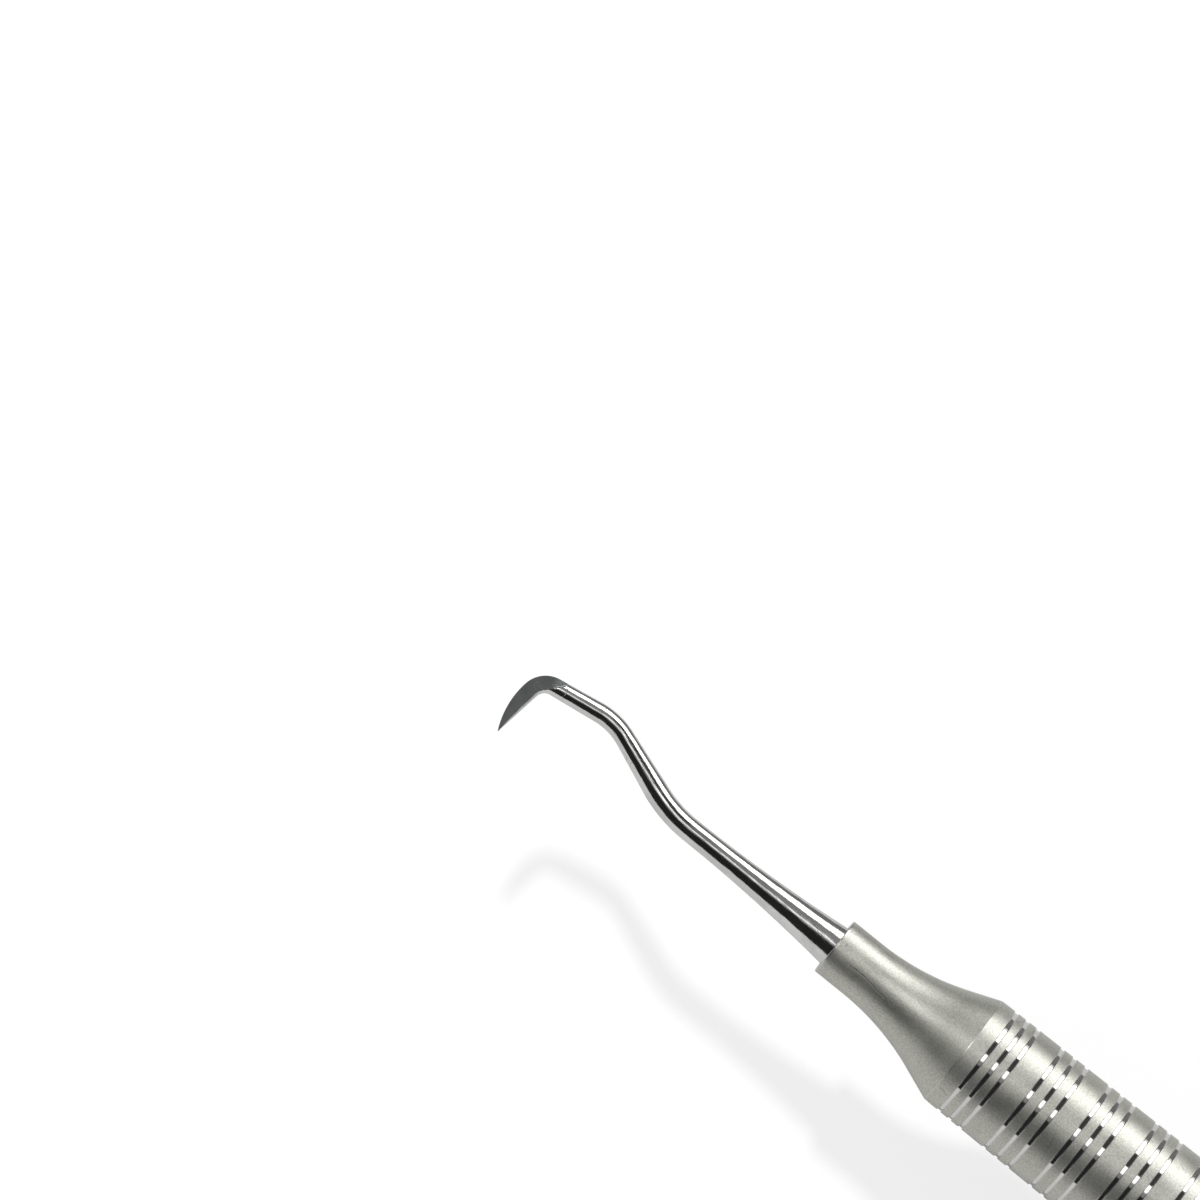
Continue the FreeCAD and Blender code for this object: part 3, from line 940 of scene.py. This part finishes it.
def quarter_turned(tree, place):
    return add_node(tree, "Mapping", {"Vector": place, "Rotation": (0, 0, math.pi / 2)}).outputs[0]


def attribute(tree, name, output):
    return add_node(tree, "Attribute", {}, attribute_name=name).outputs[output]


# %% [markdown]
# ## Parts that every finish has
# Every finish mixes two colours, adds bump and ends in the same metal shader. Bump is given as a depth in
# millimetres, so it can be compared with a real surface: polishing leaves a few thousandths.

# %% Parts of a finish
SCRATCH_COLOUR = (0.09, 0.085, 0.08)


def group_node(tree, group, inputs):
    return add_node(tree, "Group", inputs, node_tree=group).outputs


def shared(tree, first, share, second):
    """share of the first value and the rest of the second one."""
    one = calculate(tree, "MULTIPLY", first, share)
    other = calculate(tree, "MULTIPLY", second, 1 - share)
    return calculate(tree, "ADD", one, other)


def mixed_colour(tree, share, first, second):
    """A colour between two, each plain (red, green, blue) or a colour socket."""
    ends = [end if isinstance(end, bpy.types.NodeSocket) else (*end, 1) for end in (first, second)]
    return add_node(tree, "Mix", {0: share, 6: ends[0], 7: ends[1]}, data_type="RGBA").outputs[2]


def bumped(tree, height, depth, normal=None):
    """A normal from a height between 0 and 1, whose full depth is in millimetres."""
    inputs = {"Height": height, "Strength": 1.0, "Distance": depth * MM}
    if normal is not None:
        inputs["Normal"] = normal
    return add_node(tree, "Bump", inputs).outputs["Normal"]


def finish_steel(material, colour, roughness, normal):
    """The one metal shader of each finish, fed by what varies over the surface."""
    tree = material.node_tree
    inputs = {"Metallic": 1.0, "Base Color": colour, "Roughness": roughness, "Normal": normal}
    shader = add_node(tree, "BsdfPrincipled", inputs)
    add_node(tree, "OutputMaterial", {"Surface": shader.outputs["BSDF"]})


# %% [markdown]
# ## The long scratch
# One scratch crosses the front cone near its collar. It is a single curve, so no random pattern would put
# it there: its line is written as a distance. The height of the curve at each place along the cone comes
# from one smooth step, and the scratch is where the surface lies close enough to it.

# %% Long scratch
SCRATCH_ALONG = (1.4, 5.7)  # from the collar face to its two ends
SCRATCH_STEP = (2.9, 5.3)  # where it swings aside
SCRATCH_SIDE = (-0.36, -0.65)
SCRATCH_HALF_WIDTH = 0.055
SCRATCH_FADE = 0.5


def long_scratch(tree, place):
    parts = add_node(tree, "SeparateXYZ", {"Vector": place}).outputs
    along = calculate(tree, "ADD", parts["X"], COLLAR_FACE)
    curve = remap(tree, along, *SCRATCH_STEP, *SCRATCH_SIDE)
    away = calculate(tree, "ABSOLUTE", calculate(tree, "SUBTRACT", parts["Y"], curve))
    line = remap(tree, away, 0.0, SCRATCH_HALF_WIDTH, 1.0, 0.0)
    start, end = SCRATCH_ALONG
    begun = remap(tree, along, start, start + SCRATCH_FADE)
    ended = remap(tree, along, end - SCRATCH_FADE, end, 1.0, 0.0)
    on_top = calculate(tree, "GREATER_THAN", parts["Z"], AXIS_HEIGHT)
    span = calculate(tree, "MULTIPLY", calculate(tree, "MULTIPLY", begun, ended), on_top)
    return calculate(tree, "MULTIPLY", line, span)


# %% [markdown]
# ## Satin steel with bright rings
# The handle and cones are bead-blasted: rough enough to blur the room into soft bands, with a fine grain
# and a warm, slightly patchy grey. Where the polish attribute is high the blasting has been cut away again,
# so the roughness drops to that of a mirror and only fine turning lines are left.

# %% Satin steel
SATIN_DARK, SATIN_LIGHT = (0.43, 0.43, 0.39), (0.64, 0.635, 0.58)
SATIN_ROUGHNESS = (0.43, 0.48)
RING_COLOUR = (0.68, 0.67, 0.65)
RING_ROUGHNESS = 0.07
PATCH_SHARE = 0.25  # the rest of the tone is grain
SATIN_HAIRLINES = 0.35
BLASTING_DEPTH, TURNING_DEPTH, MARK_DEPTH = 0.0036, 0.0003, 0.012


def satin_steel(name, scratched=False):
    material = new_material(name)
    tree = material.node_tree
    place = piece_place(tree)
    polish = attribute(tree, "polish", "Fac")
    grain = group_node(tree, grain_tree, {"Place": place, "Grain Size": 0.13, "Patch Size": 2.6})
    turning_sizes = {"Place": quarter_turned(tree, place), "Line Length": 9.0, "Line Width": 0.09}
    turning = group_node(tree, lines_tree, turning_sizes)["Fine Lines"]
    hair_sizes = {"Place": place, "Spacing": 4.0, "Width": 0.03, "Share": 0.4}
    hair = group_node(tree, hair_tree, hair_sizes)["Hairlines"]

    tone = shared(tree, grain["Patches"], PATCH_SHARE, grain["Grain"])
    blasted = mixed_colour(tree, tone, SATIN_DARK, SATIN_LIGHT)
    rubbed = mixed_colour(tree, polish, blasted, RING_COLOUR)
    marks = calculate(tree, "MULTIPLY", hair, SATIN_HAIRLINES)
    if scratched:
        marks = calculate(tree, "MAXIMUM", marks, long_scratch(tree, place))
    colour = mixed_colour(tree, marks, rubbed, SCRATCH_COLOUR)

    dull = remap(tree, grain["Patches"], 0, 1, *SATIN_ROUGHNESS, kind="LINEAR")
    roughness = add_node(tree, "Mix", {0: polish, 2: dull, 3: RING_ROUGHNESS}).outputs[0]
    blasting = calculate(tree, "MULTIPLY", grain["Grain"], calculate(tree, "SUBTRACT", 1.0, polish))
    rough_normal = bumped(tree, blasting, BLASTING_DEPTH)
    turned_normal = bumped(tree, turning, TURNING_DEPTH, rough_normal)
    normal = bumped(tree, calculate(tree, "SUBTRACT", 1.0, marks), MARK_DEPTH, turned_normal)
    finish_steel(material, colour, roughness, normal)
    return material


# %% [markdown]
# ## Polished steel of the shank
# The wire was polished by hand against a felt wheel. From close by that isn't a perfect mirror: shallow
# waves run along it, which fray the edges of what it mirrors, and finer lines lie in them. Both are bump
# from the tool line group, fed with the lay attribute so that they follow every bend.

# %% Polished steel
POLISHED_DARK, POLISHED_LIGHT = (0.60, 0.60, 0.585), (0.70, 0.70, 0.685)
POLISHED_ROUGHNESS = (0.07, 0.15)
POLISHED_HAIRLINES = 0.4
WAVE_DEPTH, STREAK_DEPTH, HAIRLINE_DEPTH = 0.012, 0.0045, 0.002


def polished_steel():
    material = new_material("polished_steel")
    tree = material.node_tree
    lay = attribute(tree, "lay", "Vector")
    waves = group_node(tree, lines_tree, {"Place": lay, "Line Length": 5.0, "Line Width": 0.55})
    fine = group_node(tree, lines_tree, {"Place": lay, "Line Length": 1.1, "Line Width": 0.085})
    grain = group_node(tree, grain_tree, {"Place": lay, "Grain Size": 0.05, "Patch Size": 1.6})
    hair_sizes = {"Place": lay, "Spacing": 2.2, "Width": 0.012, "Share": 0.4}
    hair = group_node(tree, hair_tree, hair_sizes)["Hairlines"]

    plain = mixed_colour(tree, grain["Patches"], POLISHED_DARK, POLISHED_LIGHT)
    marks = calculate(tree, "MULTIPLY", hair, POLISHED_HAIRLINES)
    colour = mixed_colour(tree, marks, plain, SCRATCH_COLOUR)
    roughness = remap(tree, fine["Lines"], *NOISE_SPAN, *POLISHED_ROUGHNESS)
    wavy = bumped(tree, waves["Lines"], WAVE_DEPTH)
    streaked = bumped(tree, fine["Lines"], STREAK_DEPTH, wavy)
    normal = bumped(tree, calculate(tree, "SUBTRACT", 1.0, hair), HAIRLINE_DEPTH, streaked)
    finish_steel(material, colour, roughness, normal)
    return material


# %% [markdown]
# ## Ground steel of the flanks, with painted shade
# The two flanks are ground last, and the wheel leaves lines straight across the blade. Their colour is
# darker than the polished wire's and a touch green: partly the ground face's own tone, and partly painted
# shade for the dark room that the flanks mirror. The lay turned by a quarter turn points the same tool
# lines across.

# %% Ground steel
# The dark flank colours below are partly painted shade for the dark room that the flanks mirror.
GROUND_AND_SHADE_DARK, GROUND_AND_SHADE_LIGHT = (0.25, 0.275, 0.265), (0.38, 0.405, 0.39)
GROUND_ROUGHNESS = (0.11, 0.17)
LINE_SHARE = 0.5  # the rest of the tone is patches
GROUND_HAIRLINES = 0.3
GRINDING_DEPTH = 0.0006


def ground_and_shaded_steel():
    material = new_material("ground_and_shaded_steel")
    tree = material.node_tree
    lay = attribute(tree, "lay", "Vector")
    line_sizes = {"Place": quarter_turned(tree, lay), "Line Length": 2.5, "Line Width": 0.07}
    lines = group_node(tree, lines_tree, line_sizes)
    grain = group_node(tree, grain_tree, {"Place": lay, "Grain Size": 0.05, "Patch Size": 0.9})
    hair_sizes = {"Place": lay, "Spacing": 1.4, "Width": 0.01, "Share": 0.3}
    hair = group_node(tree, hair_tree, hair_sizes)["Hairlines"]

    tone = shared(tree, lines["Lines"], LINE_SHARE, grain["Patches"])
    # the flank colour, partly the ground face's own tone and partly painted shade
    plain = mixed_colour(tree, tone, GROUND_AND_SHADE_DARK, GROUND_AND_SHADE_LIGHT)
    marks = calculate(tree, "MULTIPLY", hair, GROUND_HAIRLINES)
    colour = mixed_colour(tree, marks, plain, SCRATCH_COLOUR)
    roughness = remap(tree, lines["Fine Lines"], *NOISE_SPAN, *GROUND_ROUGHNESS)
    finish_steel(material, colour, roughness, bumped(tree, lines["Fine Lines"], GRINDING_DEPTH))
    return material


# %% [markdown]
# ## Finish for every piece
# The handle and the cones get the satin steel, and only the front cone has the long scratch. A working end
# has two materials: its faces point to the first one, polished, except on the ground flanks.

# %% Give each piece its finish
satin = satin_steel("satin_steel")
satin_scratched = satin_steel("satin_steel_scratched", scratched=True)
polished, ground_and_shaded_finish = polished_steel(), ground_and_shaded_steel()

handle_tube.data.materials.append(satin)
front_cone.data.materials.append(satin_scratched)
rear_cone.data.materials.append(satin)
for piece in (front_end, rear_end):
    piece.data.materials.append(polished)
    piece.data.materials.append(ground_and_shaded_finish)
print("materials:", sorted(material.name for material in bpy.data.materials))

# %% [markdown]
# ## What each skin stands for
# Each row gives a skin, the CAD node that it takes the place of, and a material slot. The node is hidden,
# and the skin rides on a body. The scaler has no joints, so all five ride on the root.

# %% Tell the frame
for piece, node, slot in (
    (handle_tube, "handle_tube", "satin_handle"),
    (front_cone, "front_cone", "satin_handle"),
    (rear_cone, "rear_cone", "satin_handle"),
    (front_end, "front_working_end", "polished_tip"),
    (rear_end, "rear_working_end", "polished_tip"),
):
    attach(piece, "root")
    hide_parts(node)
    print(f"{piece.name} stands for {node}")
